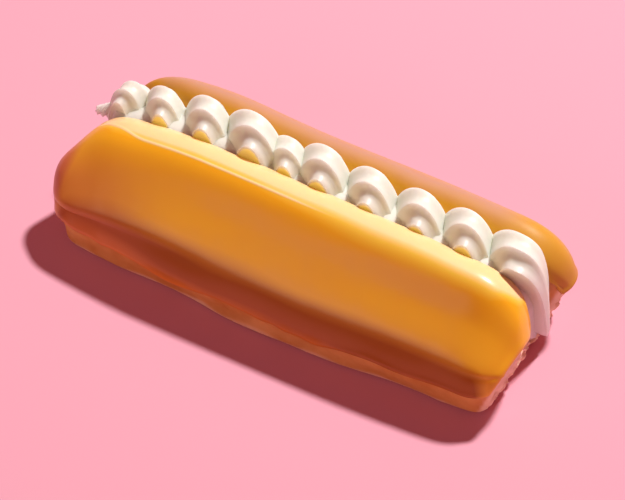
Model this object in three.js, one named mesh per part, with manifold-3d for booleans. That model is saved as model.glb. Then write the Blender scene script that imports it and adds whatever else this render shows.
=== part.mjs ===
// A custard cream eclair: a long soft bun split along its top, a skin of custard icing on each half,
// and one rope of whipped cream piped along the split. Millimetres, +Z up, +X along the bun.
// The wide half is on the -Y side and the narrow half on the +Y side.
import * as THREE from "three";
import { mergeVertices } from "three/addons/utils/BufferGeometryUtils.js";
import Module from "manifold-3d";

// The two halves of the bun, from end to end.
const WIDE_LEFT = -75.4;
const WIDE_RIGHT = 69;
const NARROW_LEFT = -71;
const NARROW_RIGHT = 70;

// Heights of the bare bun.
const WIDE_CROWN = 35.5;
const NARROW_CROWN = 33;
const BULGE_HEIGHT = 15;
const SLOT_FLOOR = 6.5;
const SLOT_FLOOR_RISE = 11;
const SLOT_FLOOR_RISE_LENGTH = 24;

// Places across the bare bun, half way along it.
const WIDE_SIDE = -27;
const WIDE_BASE = -23.2;
const WIDE_LIP = 1.2;
const SLOT_WIDE_WALL = 3.4;
const SLOT_NARROW_WALL = 14.6;
const NARROW_LIP = 16.4;
const NARROW_SIDE = 28.4;
const NARROW_BASE = 23;

// How the halves change along the bun.
const SLOT_SKEW = -0.035;
const LEFT_DROOP = 5.4;
const RIGHT_DROOP = 2.5;
const DROOP_LENGTH = 42;
const DROOP_POWER = 1.6;
const SIDE_BOW = { middle: 10, reach: 75, depth: 2.6 };
const BASE_BOW = { middle: 0, reach: 60, depth: 3.4 };
const LUMPS = [
  { length: 9.5, height: 0.5, phase: 1 },
  { length: 5.3, height: 0.3, phase: 2.1 },
];

// The control points of the two sections that the sizes above leave open.
const WALL_LOW = 0.3;
const WALL_HIGH = 0.68;
const WALL_LEAN = 0.6;
const FLOOR_REACH = 4.5;
const WIDE_SECTION = {
  lip: { drop: 2.4 },
  crown: 4,
  shoulder: { y: -7.6, drop: 1.2 },
  faceTop: { y: -14.8, drop: 7.9 },
  faceFoot: { y: -21.6, drop: 14.3 },
  side: { in: 2.4, height: 17.4 },
  bulge: 11.5,
  foot: { in: 1, height: 5 },
  under: -8,
  joint: 9,
};
const NARROW_SECTION = {
  foot: { in: 1.2, height: 5 },
  side: { in: 1, height: 22 },
  shoulder: { in: 4, drop: 2.8 },
  crown: 0.33,
  lip: { drop: 2.2 },
  under: 14,
};

const SWELL = { x: -44, length: 26, side: 1.8, crown: 1.6 };

// How far from each end the plan, the top and the underside begin to round off.
const LEFT_ROUND = { plan: 10, top: 18, base: 9 };
const RIGHT_ROUND = { plan: 10, top: 17, base: 6 };
const ROUND_POWER = 2.3;

// A soft lobe that stands out from the left end of the wide half.
const LOBE = { depth: 2.5, y: -12.5, z: 19.5, across: 7, up: 5.5, from: 12, to: 2 };

// The right end leans back below, where the bun was torn from the next one.
const TEAR_AT_BASE = 65.2;
const TEAR_LEAN = 0.32;
const ICING_BEFORE_TEAR = 2.1;

// The icing and the gap that every piece keeps to the next.
const ICING = 1.5;
const GAP = 0.3;
const ICING_EDGE = 8.6;
const ICING_EDGE_RISES = [
  { from: 0, to: 55, height: 2.2 },
  { from: -20, to: -60, height: 1.4 },
];
const NARROW_END_RISE = { from: 52, to: 66, height: 6, near: 8, far: 16 };
const EDGE_WAVES = [
  { length: 7.3, across: 9, height: 0.7, phase: 0 },
  { length: 3.9, across: 40, height: 0.4, phase: 1 },
];
const EDGE_GRID = { length: 170, width: 76, depth: 30, lengthSteps: 85, widthSteps: 8 };
const ICING_OVER_LIP = 4;
const SPLIT_CUT = { wideFrom: -2, narrowTo: 18.5, past: 40, below: 10, beyond: 5 };
const ICING_THIN = 0.55;
const ICING_FULL_HEIGHT = 17;

// The cream rope, a row of humps: the middle of each along X, its radius, the height of its centre line,
// how long it is for its radius, and how far its front ridges lean to the right.
const HUMPS = [
  { x: -67.6, radius: 6.4, height: 29.8, length: 1, lean: -0.5 },
  { x: -57.4, radius: 6.8, height: 32.4, length: 1.05, lean: 1 },
  { x: -42.6, radius: 7.9, height: 34.4, length: 1, lean: 1 },
  { x: -27.6, radius: 8.3, height: 35.4, length: 1.1, lean: 1.3 },
  { x: -15.6, radius: 7, height: 33.2, length: 1, lean: 1 },
  { x: -4, radius: 8.3, height: 34, length: 1, lean: 1 },
  { x: 11.5, radius: 8.3, height: 32.9, length: 1, lean: 1 },
  { x: 27.5, radius: 8.2, height: 32.8, length: 1, lean: 1 },
  { x: 42.3, radius: 8.2, height: 32.8, length: 1, lean: 1 },
  { x: 57, radius: 8.4, height: 31.6, length: 1, lean: 1 },
];
const ROPE_Y = 9.4;

// A hump is a set of nested arches, by turns a ridge and a groove, at these angles from its back over its
// top to its front. Each length is for a hump of the radius below.
const HUMP_RADIUS = 8.3;
const ARCHES = [
  { angle: 17, length: 7.6 },
  { angle: 40, length: 9.2 },
  { angle: 62, length: 9.6 },
  { angle: 85, length: 8.8 },
  { angle: 107, length: 8.2 },
  { angle: 127, length: 6.8 },
  { angle: 147, length: 4.9 },
];
const GROOVE = 0.8;
const ARCH_AXIS_DROP = 8.5;
const ARCH_LEAN = { start: 1.3, slope: -0.34, most: 3.4 };
const ARCH_LOW_SIDE = 0.25;
const ARCH_TOP_STEPS = 12;
const ARCH_LOW_STEPS = 4;
const CORE = { depth: 1.2, rings: [0.5, 0.9] };

// The last hump falls down the open end of the split, further at its front than at its back.
const FALL = { x: 69, lean: 0.3, most: 70, foot: 8.5, tilt: 0.45, power: 3 };
const FALL_ACROSS = { narrow: 0.35, back: 4.1, ease: 0.8 };
const FALL_CORE = { x: -4.5, y: -5.5 };

// The twisted point at the other end, from its tip to where it leaves the first hump.
const TIP = { x: -78.2, y: 9.4, z: 23.6, radius: 1.5 };
const TIP_BASE = { x: -70.5, y: 9.6, z: 26.4, radius: 4 };
const TIP_RINGS = 5;
const TIP_RIDGES = { count: 6, depth: 0.3, turns: 0.6 };

// The cream that fills the split under the humps, as points across the rope: the two without a height
// stand on the floor of the split. Its top falls at the open end, as the last hump does. Then where each
// wall of the split is bare of icing.
const FILLING = { left: -70, right: 66.8, sink: 3, heightAt: 34, fallFrom: 57, fallTo: 67.5, fall: 24 };
const FILLING_SECTION = [
  { y: 7 },
  { y: 6.6, z: 30 },
  { y: 4, z: 33 },
  { y: -4, z: 33.6 },
  { y: -6.6, z: 33 },
  { y: -8.2, z: 31 },
  { y: -7 },
];
const WIDE_BARE_WALL = { from: 0, to: 0.12 };
const NARROW_BARE_WALL = { from: 0.55, to: 0.8 };
const TEAR_BLOCK = 120;

const HALF_RING_POINTS = 32;
const END_RINGS = 7;
const FIRST_RING = 0.6;
const MIDDLE_RINGS = 12;

// Small steps along and round a half, from which its normals are measured.
const STEP_ALONG = 0.01;
const STEP_ROUND = 1e-3;
const SHORT_OF_END = 1e-4;
const NEARLY_NOTHING = 1e-6;

const wasm = await Module();
wasm.setup();

function lerp(a, b, t) {
  return a + (b - a) * t;
}

// A closed curve through the given [y, z] points.
function closedCurve(points, t) {
  const n = points.length;
  const i = Math.floor(t * n);
  const f = t * n - i;
  const p = [i - 1, i, i + 1, i + 2].map((k) => points[(k + n) % n]);
  return [0, 1].map((c) => {
    const [a, b, d, e] = p.map((q) => q[c]);
    const cubic = 3 * b - a - 3 * d + e;
    const square = 2 * a - 5 * b + 4 * d - e;
    return 0.5 * (2 * b + (d - a) * f + square * f * f + cubic * f * f * f);
  });
}

// How far a section has grown at a distance from the end of the bun.
function rounding(distance, length) {
  if (distance >= length) return 1;
  const t = 1 - Math.max(0, distance) / length;
  return Math.pow(1 - Math.pow(t, ROUND_POWER), 1 / ROUND_POWER);
}

// From 0 at one place to 1 at another, in either direction, with soft ends.
function ease(x, from, to) {
  const t = THREE.MathUtils.clamp((x - from) / (to - from), 0, 1);
  return t * t * (3 - 2 * t);
}

// The floor of the split climbs towards the left end.
function slotFloor(x) {
  return SLOT_FLOOR + SLOT_FLOOR_RISE * ease(x, WIDE_LEFT + SLOT_FLOOR_RISE_LENGTH, WIDE_LEFT);
}

// Slow unevenness along the bun, different for each side.
function lump(x, side) {
  return LUMPS.reduce((sum, wave) => sum + wave.height * Math.sin(x / wave.length + wave.phase * side), 0);
}

// How far a bowed edge has come in at x.
function bowed(bow, x) {
  return bow.depth * ((x - bow.middle) / bow.reach) ** 2;
}

// How much lower the crowns are towards the ends.
function droop(x) {
  const left = Math.max(0, WIDE_LEFT + DROOP_LENGTH - x) / DROOP_LENGTH;
  const right = Math.max(0, x - WIDE_RIGHT + DROOP_LENGTH) / DROOP_LENGTH;
  return LEFT_DROOP * left ** DROOP_POWER + RIGHT_DROOP * right ** DROOP_POWER;
}

// The section of the wide half at x, from the slot wall over the crown and round to the base.
function wideOutline(x) {
  const skew = SLOT_SKEW * x;
  const { lip, crown, shoulder, faceTop, faceFoot, side, bulge, foot, under, joint } = WIDE_SECTION;
  const top = WIDE_CROWN - droop(x);
  const floor = slotFloor(x);
  const outer = WIDE_SIDE + bowed(SIDE_BOW, x);
  const base = WIDE_BASE + bowed(BASE_BOW, x) + lump(x, 0.4);
  return [
    [SLOT_WIDE_WALL + FLOOR_REACH + skew, floor],
    [SLOT_WIDE_WALL + WALL_LEAN + skew, lerp(floor, top, WALL_LOW)],
    [SLOT_WIDE_WALL + skew, lerp(floor, top, WALL_HIGH)],
    [WIDE_LIP + skew, top - lip.drop],
    [WIDE_LIP - crown + skew, top],
    [shoulder.y + skew / 2, top - shoulder.drop],
    [faceTop.y, top - faceTop.drop],
    [faceFoot.y, top - faceFoot.drop],
    [outer + side.in, side.height - droop(x) / 2],
    [outer + lump(x, 1.7) / 2, bulge],
    [outer + foot.in, foot.height],
    [base, 0],
    [under, 0],
    [SLOT_WIDE_WALL + joint, 0],
  ];
}

// The section of the narrow half at x, from its outer side over the crown and down the slot wall.
function narrowOutline(x) {
  const skew = SLOT_SKEW * x;
  const { foot, side, shoulder, crown, lip, under } = NARROW_SECTION;
  const swell = Math.exp(-(((x - SWELL.x) / SWELL.length) ** 2));
  const top = NARROW_CROWN + SWELL.crown * swell - 0.3 * droop(x);
  const floor = slotFloor(x);
  const bow = bowed(BASE_BOW, x);
  const outer = NARROW_SIDE + SWELL.side * swell - 0.4 * bow;
  return [
    [outer - foot.in, foot.height],
    [outer, BULGE_HEIGHT - 2],
    [outer - side.in, side.height],
    [outer - shoulder.in, top - shoulder.drop],
    [lerp(NARROW_LIP, outer, crown) + skew / 2, top],
    [NARROW_LIP + skew, top - lip.drop],
    [SLOT_NARROW_WALL + WALL_LEAN + skew, lerp(floor, top, WALL_HIGH)],
    [SLOT_NARROW_WALL - WALL_LEAN + skew, lerp(floor, top, WALL_LOW)],
    [SLOT_NARROW_WALL - FLOOR_REACH + skew, floor],
    [SLOT_WIDE_WALL + skew, 0],
    [under, 0],
    [NARROW_BASE - bow, 0],
  ];
}

const WIDE = { left: WIDE_LEFT, right: WIDE_RIGHT, axis: -12.5, outline: wideOutline, lobe: LOBE.depth };
const NARROW = { left: NARROW_LEFT, right: NARROW_RIGHT, axis: 20.5, outline: narrowOutline, lobe: 0 };

// How far the lobe moves a point of the left end outwards.
function lobeAt(half, x, y, z) {
  const near = ease(x, half.left + LOBE.from, half.left + LOBE.to);
  return half.lobe * near * Math.exp(-(((y - LOBE.y) / LOBE.across) ** 2) - ((z - LOBE.z) / LOBE.up) ** 2);
}

// A point on the bare surface of a half.
function surface(half, x, t) {
  const reach = Math.min(x - half.left, half.right - x);
  const end = x - half.left < half.right - x ? LEFT_ROUND : RIGHT_ROUND;
  const [y, z] = closedCurve(half.outline(x), t);
  const flat = Math.max(z, 0);
  const tall = rounding(reach, flat > BULGE_HEIGHT ? end.top : end.base);
  const acrossHalf = half.axis + (y - half.axis) * rounding(reach, end.plan);
  const height = BULGE_HEIGHT + (flat - BULGE_HEIGHT) * tall;
  return new THREE.Vector3(x - lobeAt(half, x, acrossHalf, height), acrossHalf, height);
}

// The same point moved outwards along the surface normal.
function grown(half, x, t, out) {
  const left = Math.max(x - STEP_ALONG, half.left + SHORT_OF_END);
  const right = Math.min(x + STEP_ALONG, half.right - SHORT_OF_END);
  const along = surface(half, right, t).sub(surface(half, left, t));
  const round = surface(half, x, (t + STEP_ROUND) % 1).sub(surface(half, x, (t + 1 - STEP_ROUND) % 1));
  const normal = round.cross(along).normalize();
  return surface(half, x, t).addScaledVector(normal, out);
}

// Where the rings of a half stand: close together on its rounded ends.
function stations(half) {
  const ends = Array.from({ length: END_RINGS }, (_, i) => {
    return LEFT_ROUND.top * (1 - Math.cos(((i + FIRST_RING) / END_RINGS) * (Math.PI / 2)));
  });
  const from = half.left + LEFT_ROUND.top;
  const to = half.right - RIGHT_ROUND.top;
  const middle = Array.from({ length: MIDDLE_RINGS + 1 }, (_, i) => lerp(from, to, i / MIDDLE_RINGS));
  const left = ends.map((d) => half.left + d);
  const right = ends.map((d) => half.right - d).reverse();
  return [...left, ...middle, ...right];
}

// A closed mesh through rings that run anticlockwise seen from +X, with a point at each end.
function loft(rings, first, last) {
  const n = rings[0].length;
  const points = [...rings.flat(), first, last];
  const index = [];
  const startPole = points.length - 2;
  const endPole = points.length - 1;
  rings.forEach((ring, i) => {
    for (let j = 0; j < n; j++) {
      const k = (j + 1) % n;
      const a = i * n + j;
      const b = i * n + k;
      if (i === 0) index.push(startPole, b, a);
      if (i === rings.length - 1) index.push(endPole, a, b);
      else index.push(a, b, a + n, b, b + n, a + n);
    }
  });
  return new THREE.BufferGeometry().setFromPoints(points).setIndex(index);
}

function solidOf(geometry) {
  geometry.deleteAttribute("normal");
  geometry.deleteAttribute("uv");
  const merged = mergeVertices(geometry, 1e-4);
  const vertProperties = merged.attributes.position.array;
  const triVerts = new Uint32Array(merged.index.array);
  return new wasm.Manifold(new wasm.Mesh({ numProp: 3, vertProperties, triVerts }));
}

function geometryOf(solid) {
  const mesh = solid.getMesh();
  const geometry = new THREE.BufferGeometry();
  geometry.setAttribute("position", new THREE.BufferAttribute(mesh.vertProperties, 3));
  geometry.setIndex(new THREE.BufferAttribute(mesh.triVerts, 1));
  geometry.computeVertexNormals();
  return geometry;
}

// Cutting can leave small scraps, so the largest body is kept.
function largest(solid) {
  return solid.decompose().reduce((a, b) => (a.volume() > b.volume() ? a : b));
}

// How thick the icing is at a height on the bun: it thins towards its lower edge.
function icingAt(z) {
  return ICING * lerp(ICING_THIN, 1, ease(z, ICING_EDGE - 2, ICING_FULL_HEIGHT));
}

// A half of the bun, grown outwards by out(t, z), where t runs round its section.
function halfSolid(half, out) {
  const ring = (x) => {
    return Array.from({ length: HALF_RING_POINTS }, (_, j) => {
      const t = j / HALF_RING_POINTS;
      return grown(half, x, t, out(t, surface(half, x, t).z));
    });
  };
  const tipOut = out(0.5, BULGE_HEIGHT);
  const lobe = lobeAt(half, half.left, half.axis, BULGE_HEIGHT);
  const first = new THREE.Vector3(half.left - lobe - tipOut, half.axis, BULGE_HEIGHT);
  const last = new THREE.Vector3(half.right + tipOut, half.axis, BULGE_HEIGHT);
  return solidOf(loft(stations(half).map(ring), first, last));
}

// The height of the lower edge of the icing, which waves and climbs towards the ends.
function icingEdge(x, y) {
  const { from, to, height, near, far } = NARROW_END_RISE;
  const rises = ICING_EDGE_RISES.reduce((sum, rise) => sum + rise.height * ease(x, rise.from, rise.to), 0);
  const waves = EDGE_WAVES.reduce((sum, wave) => {
    return sum + wave.height * Math.sin(x / wave.length + y / wave.across + wave.phase);
  }, 0);
  return ICING_EDGE + rises + height * ease(x, from, to) * ease(y, near, far) + waves;
}

// Everything below the edge of the icing.
function belowIcing() {
  const { length, width, depth, lengthSteps, widthSteps } = EDGE_GRID;
  const box = new THREE.BoxGeometry(length, width, depth, lengthSteps, widthSteps, 1);
  const at = box.attributes.position;
  for (let i = 0; i < at.count; i++) {
    const low = at.getZ(i) < 0;
    at.setZ(i, low ? -depth : icingEdge(at.getX(i), at.getY(i)));
  }
  return solidOf(box);
}

// What lies in the split below the turned-in edge of the icing, between y = near and y = far.
function splitSpace(near, far, crown) {
  const rings = stations(WIDE).map((x) => {
    const reach = Math.min(x - WIDE_LEFT, WIDE_RIGHT - x);
    const shrink = rounding(reach, LEFT_ROUND.top);
    const top = BULGE_HEIGHT + (crown - droop(x) - ICING_OVER_LIP - BULGE_HEIGHT) * shrink;
    const skew = SLOT_SKEW * x;
    return [
      new THREE.Vector3(x, far + skew, -SPLIT_CUT.below),
      new THREE.Vector3(x, far + skew, top),
      new THREE.Vector3(x, near + skew, top),
      new THREE.Vector3(x, near + skew, -SPLIT_CUT.below),
    ];
  });
  const middle = (near + far) / 2;
  const first = new THREE.Vector3(WIDE_LEFT - SPLIT_CUT.beyond, middle, 0);
  const last = new THREE.Vector3(WIDE_RIGHT + SPLIT_CUT.beyond, middle, 0);
  return solidOf(loft(rings, first, last));
}

function icing(half, space) {
  const shell = halfSolid(half, (t, z) => GAP + icingAt(z)).subtract(halfSolid(half, () => GAP));
  return largest(shell.subtract(belowIcing()).subtract(space));
}

// One arch of a hump as a closed ring in X and Z, seen anticlockwise from the front. The right side of the
// last hump's arches runs on down to its foot, and comes closer together across the rope as it falls.
function archRing(hump, i) {
  const arch = ARCHES[i];
  const angle = THREE.MathUtils.degToRad(arch.angle);
  const reach = hump.radius * (i % 2 ? GROOVE : 1);
  const y = reach * Math.cos(angle);
  const axis = hump.height - ARCH_AXIS_DROP;
  const top = axis + reach * Math.sin(angle) + ARCH_AXIS_DROP;
  const length = (arch.length * hump.length * hump.radius) / HUMP_RADIUS;
  const centre = hump.x + hump.lean * Math.min(ARCH_LEAN.start + ARCH_LEAN.slope * y, ARCH_LEAN.most);
  const points = archTurns().map((turn) => {
    const side = Math.sin(turn);
    const up = Math.cos(turn);
    if (side > NEARLY_NOTHING && hump === HUMPS.at(-1)) return fallingPoint(centre, top, y, side, up);
    const z = axis + (top - axis) * (up > 0 ? up : up * ARCH_LOW_SIDE);
    return { x: centre + length * side, y, z, fallen: 0 };
  });
  return { centre, axis, points };
}

// The angles of the points of an arch from its top, close together over the top.
function archTurns() {
  const top = Array.from({ length: ARCH_TOP_STEPS + 1 }, (_, i) => Math.PI * (0.5 - i / ARCH_TOP_STEPS));
  const low = Array.from({ length: ARCH_LOW_STEPS - 1 }, (_, i) => {
    return -Math.PI * (0.5 + (i + 1) / ARCH_LOW_STEPS);
  });
  return [...top, ...low];
}

function fallingPoint(centre, top, y, side, up) {
  const right = Math.min(FALL.x - FALL.lean * y, FALL.most);
  const share = 2 / FALL.power;
  const x = centre + (right - centre) * (up > 0 ? side ** share : side);
  const foot = FALL.foot + FALL.tilt * y;
  const z = foot + (top - foot) * Math.max(up, 0) ** share + Math.min(up, 0);
  const fallen = THREE.MathUtils.clamp((top - z) / (top - foot), 0, 1) ** FALL_ACROSS.ease;
  return { x, y: lerp(y, FALL_ACROSS.narrow * y + FALL_ACROSS.back, fallen), z, fallen };
}

// A smaller ring inside the first or the last arch of a hump, which closes its back or its front.
function coreRing({ centre, axis, points }, inward, way) {
  return points.map(({ x, y, z, fallen }) => {
    const slope = way < 0 ? fallen * inward : 0;
    const coreX = centre + (x - centre) * (1 - inward);
    const coreZ = axis + (z - axis) * (1 - inward);
    return {
      x: lerp(coreX, x + FALL_CORE.x * inward, slope),
      y: y + way * -CORE.depth * Math.sin((inward * Math.PI) / 2) + FALL_CORE.y * slope,
      z: lerp(coreZ, z, slope),
    };
  });
}

function onRope({ x, y, z }) {
  return new THREE.Vector3(x, ROPE_Y + SLOT_SKEW * x + y, z);
}

function middleOf(ring) {
  return ring.reduce((sum, point) => sum.add(point), new THREE.Vector3()).divideScalar(ring.length);
}

function humpSolid(hump) {
  const arches = ARCHES.map((_, i) => archRing(hump, i));
  const back = CORE.rings.map((inward) => coreRing(arches[0], inward, 1)).reverse();
  const front = CORE.rings.map((inward) => coreRing(arches.at(-1), inward, -1));
  const rings = [...back, ...arches.map((arch) => arch.points), ...front].map((ring) => ring.map(onRope));
  return solidOf(loft(rings, middleOf(rings[0]), middleOf(rings.at(-1))));
}

function tipSolid() {
  const rings = Array.from({ length: TIP_RINGS }, (_, i) => {
    const share = i / (TIP_RINGS - 1);
    const [x, y, z, radius] = ["x", "y", "z", "radius"].map((k) => lerp(TIP[k], TIP_BASE[k], share));
    return Array.from({ length: TIP_RIDGES.count * 2 }, (_, j) => {
      const angle = (j / TIP_RIDGES.count) * Math.PI + share * TIP_RIDGES.turns * 2 * Math.PI;
      const reach = radius * (j % 2 ? 1 - TIP_RIDGES.depth : 1);
      return new THREE.Vector3(x, y + reach * Math.cos(angle), z + reach * Math.sin(angle));
    });
  });
  return solidOf(loft(rings, middleOf(rings[0]), middleOf(rings.at(-1))));
}

// The height of the rope's centre line between the middles of the humps.
function ropeHeight(x) {
  const i = HUMPS.findIndex((hump) => hump.x > x);
  if (i === 0) return HUMPS[0].height;
  if (i < 0) return HUMPS.at(-1).height;
  const [a, b] = [HUMPS[i - 1], HUMPS[i]];
  return lerp(a.height, b.height, (x - a.x) / (b.x - a.x));
}

// The cream pressed down into the split under the humps.
function creamInSplit() {
  const { left, right, sink, heightAt, fallFrom, fallTo, fall } = FILLING;
  const rings = stations(WIDE)
    .filter((x) => x > left && x < right)
    .map((x) => {
      const floor = slotFloor(x) - sink;
      const gone = THREE.MathUtils.clamp((x - fallFrom) / (fallTo - fallFrom), 0, 1);
      const lift = ropeHeight(x) - heightAt - fall * (1 - (1 - gone ** FALL.power) ** (1 / FALL.power));
      return FILLING_SECTION.map(({ y, z }) => onRope({ x, y, z: z === undefined ? floor : z + lift }));
    });
  return solidOf(loft(rings, middleOf(rings[0]), middleOf(rings.at(-1))));
}

// The room that a half takes from the cream: its icing where it has any, and the bare wall below.
function roomOf(half, bareWall) {
  return halfSolid(half, (t) => (t >= bareWall.from && t <= bareWall.to ? GAP : ICING + 2 * GAP));
}

// Everything beyond a distance before the torn right end.
function beyondTear(before) {
  const box = new THREE.BoxGeometry(TEAR_BLOCK, TEAR_BLOCK, TEAR_BLOCK);
  box.translate(TEAR_BLOCK / 2, 0, 0);
  box.rotateY(Math.atan(TEAR_LEAN));
  box.translate(TEAR_AT_BASE - before, 0, 0);
  return solidOf(box);
}

const bun = halfSolid(WIDE, () => 0).add(halfSolid(NARROW, () => 0)).subtract(beyondTear(0));
const wideSplit = splitSpace(SPLIT_CUT.wideFrom, SPLIT_CUT.past, WIDE_CROWN);
const narrowSplit = splitSpace(-SPLIT_CUT.past, SPLIT_CUT.narrowTo, NARROW_CROWN);
const icingWide = icing(WIDE, wideSplit.add(beyondTear(ICING_BEFORE_TEAR)));
const icingNarrow = icing(NARROW, narrowSplit);
const creamRoom = roomOf(WIDE, WIDE_BARE_WALL).add(roomOf(NARROW, NARROW_BARE_WALL));
const humps = HUMPS.map(humpSolid);
const creamWhole = [...humps, tipSolid()].reduce((whole, solid) => whole.add(solid), creamInSplit());
const cream = largest(creamWhole.subtract(creamRoom));

function piece(name, solid, color, roughness) {
  const material = new THREE.MeshStandardMaterial({ color, roughness, metalness: 0 });
  const mesh = new THREE.Mesh(geometryOf(solid), material);
  mesh.name = name;
  return mesh;
}

const eclair = new THREE.Group();
eclair.add(
  piece("bun", bun, 0xcf8442, 0.8),
  piece("icing_wide", icingWide, 0xd8943a, 0.25),
  piece("icing_narrow", icingNarrow, 0xd8943a, 0.25),
  piece("cream", cream, 0xf8f3ea, 0.5),
);

// The origin is on the base, at the middle of the whole.
const extent = new THREE.Box3().setFromObject(eclair);
const middle = extent.getCenter(new THREE.Vector3());
eclair.position.set(-middle.x, -middle.y, -extent.min.z);

export default eclair;
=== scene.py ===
import math

import bmesh
import bpy
import numpy as np
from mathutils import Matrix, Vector


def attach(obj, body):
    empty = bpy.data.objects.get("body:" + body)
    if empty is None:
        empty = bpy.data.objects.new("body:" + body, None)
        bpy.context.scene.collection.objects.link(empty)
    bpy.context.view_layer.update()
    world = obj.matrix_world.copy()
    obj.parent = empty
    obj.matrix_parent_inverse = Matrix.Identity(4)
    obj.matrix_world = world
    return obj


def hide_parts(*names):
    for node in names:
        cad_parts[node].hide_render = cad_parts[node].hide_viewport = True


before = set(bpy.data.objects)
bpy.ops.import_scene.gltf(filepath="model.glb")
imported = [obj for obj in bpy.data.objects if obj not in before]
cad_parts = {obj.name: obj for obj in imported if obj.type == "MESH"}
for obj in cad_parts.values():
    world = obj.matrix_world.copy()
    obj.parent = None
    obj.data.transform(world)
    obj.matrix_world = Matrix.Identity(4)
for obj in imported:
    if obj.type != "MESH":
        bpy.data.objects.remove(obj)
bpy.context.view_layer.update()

# A custard cream eclair. Lengths are in millimetres until a mesh is made, +Z is up, +X runs along the bun.
# The wide half of the bun is on the -Y side and the narrow half on the +Y side.
MM = 0.001

# Where the origin of the sizes below lies in the part's own frame.
ORIGIN = np.array([3.725, -1.413, 0.0])

# The photograph's view. Its target is in millimetres, as the sizes are.
VIEW_AZIMUTH = math.radians(29)
VIEW_ELEVATION = math.radians(47)
VIEW_TARGET = (2.8, -6.4, 20.0)
VIEW_DISTANCE = 0.7336
LENS = 150.0
SENSOR = 36.0

# The two halves of the bun.
WIDE_LEFT, WIDE_RIGHT = -75.4, 69.0
NARROW_LEFT, NARROW_RIGHT = -71.0, 70.0
WIDE_CROWN, NARROW_CROWN = 35.5, 33.0
BULGE_HEIGHT = 15.0
SLOT_FLOOR, SLOT_FLOOR_RISE, SLOT_FLOOR_RISE_LENGTH = 6.5, 11.0, 24.0
WIDE_SIDE, WIDE_BASE, WIDE_LIP = -27.0, -23.2, 1.2
SLOT_WIDE_WALL, SLOT_NARROW_WALL = 3.4, 14.6
NARROW_LIP, NARROW_SIDE, NARROW_BASE = 16.4, 28.4, 23.0
SLOT_SKEW = -0.035
LEFT_DROOP, RIGHT_DROOP, DROOP_LENGTH, DROOP_POWER = 5.4, 2.5, 42.0, 1.6
SIDE_BOW = {"middle": 10.0, "reach": 75.0, "depth": 2.6}
BASE_BOW = {"middle": 0.0, "reach": 60.0, "depth": 3.4}
SWELL = {"x": -44.0, "length": 26.0, "side": 1.8, "crown": 1.6}
LUMPS = [(9.5, 0.5, 1.0), (5.3, 0.3, 2.1)]
WALL_LOW, WALL_HIGH, WALL_LEAN, FLOOR_REACH = 0.3, 0.68, 0.6, 4.5
WIDE_AXIS, NARROW_AXIS = -12.5, 20.5
# The section of each half outside the slot. A pair is a point: its place on Y, or how far it lies in from
# the side, and its height or its drop below the crown.
WIDE_SECTION = {
    "lip_drop": 2.4,
    "crown_in": 4.0,
    "shoulder": (-7.6, 1.2),
    "face_top": (-14.8, 7.9),
    "face_foot": (-21.6, 14.3),
    "side": (2.4, 17.4),
    "bulge_height": 11.5,
    "foot": (1.0, 5.0),
    "under": -8.0,
    "joint": 9.0,
    "side_lump": 1.7,
    "base_lump": 0.4,
}
NARROW_SECTION = {
    "lip_drop": 2.2,
    "crown_share": 0.33,
    "shoulder": (4.0, 2.8),
    "side": (1.0, 22.0),
    "bulge_drop": 2.0,
    "foot": (1.2, 5.0),
    "under": 14.0,
    "droop_share": 0.3,
    "bow_share": 0.4,
}
LEFT_ROUND = {"plan": 10.0, "top": 18.0, "base": 9.0}
RIGHT_ROUND = {"plan": 10.0, "top": 17.0, "base": 6.0}
ROUND_POWER = 2.3
TEAR_AT_BASE, TEAR_LEAN, ICING_BEFORE_TEAR = 65.2, 0.32, 2.1
LOBE = {"depth": 2.5, "y": -12.5, "z": 19.5, "across": 7.0, "up": 5.5, "from": 12.0, "to": 2.0}

# The icing.
ICING, GAP = 1.5, 0.3
WIDE_SEED, NARROW_SEED = 31, 41
ICING_EDGE, ICING_THIN, ICING_FULL_HEIGHT, ICING_OVER_LIP = 8.6, 0.55, 17.0, 4.0
EDGE_RISES = [(0.0, 55.0, 2.2), (-20.0, -60.0, 1.4)]
NARROW_END_RISE = {"from": 52.0, "to": 66.0, "height": 6.0, "near": 8.0, "far": 16.0}
EDGE_WAVES = [(7.3, 9.0, 0.7, 0.0), (3.9, 40.0, 0.4, 1.0)]

# The cream rope: middle of each hump along X, its radius, the height of its centre line, how long it is
# against its radius, and how far its front ridges lean to the right.
HUMPS = [
    (-67.6, 6.4, 29.8, 1.0, -0.5),
    (-57.4, 6.8, 32.4, 1.05, 1.0),
    (-42.6, 7.9, 34.4, 1.0, 1.0),
    (-27.6, 8.3, 35.4, 1.1, 1.3),
    (-15.6, 7.0, 33.2, 1.0, 1.0),
    (-4.0, 8.3, 34.0, 1.0, 1.0),
    (11.5, 8.3, 32.9, 1.0, 1.0),
    (27.5, 8.2, 32.8, 1.0, 1.0),
    (42.3, 8.2, 32.8, 1.0, 1.0),
    (57.0, 8.4, 31.6, 1.0, 1.0),
]
ROPE_Y = 9.4
# Across a hump, the angles where its ridges crest, from the back over the top to the front, and how deep
# the grooves between them are.
CRESTS = [17.0, 62.0, 107.0, 147.0, 190.0]
GROOVE = 0.8
# Each ridge of a hump is an arch: how long it is along X, for a hump of the radius below.
HUMP_RADIUS = 8.3
ARCH_ANGLES = [17.0, 40.0, 62.0, 85.0, 107.0, 127.0, 147.0]
ARCH_LENGTHS = [7.6, 9.2, 9.6, 8.8, 8.2, 6.8, 4.9]
ARCH_AXIS_DROP = 8.5
ARCH_SHIFT, ARCH_SHEAR, ARCH_SHIFT_MOST = 1.3, -0.34, 3.4
ARCH_LOW_SIDE = 0.25
CORE_DEPTH = 1.2
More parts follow.
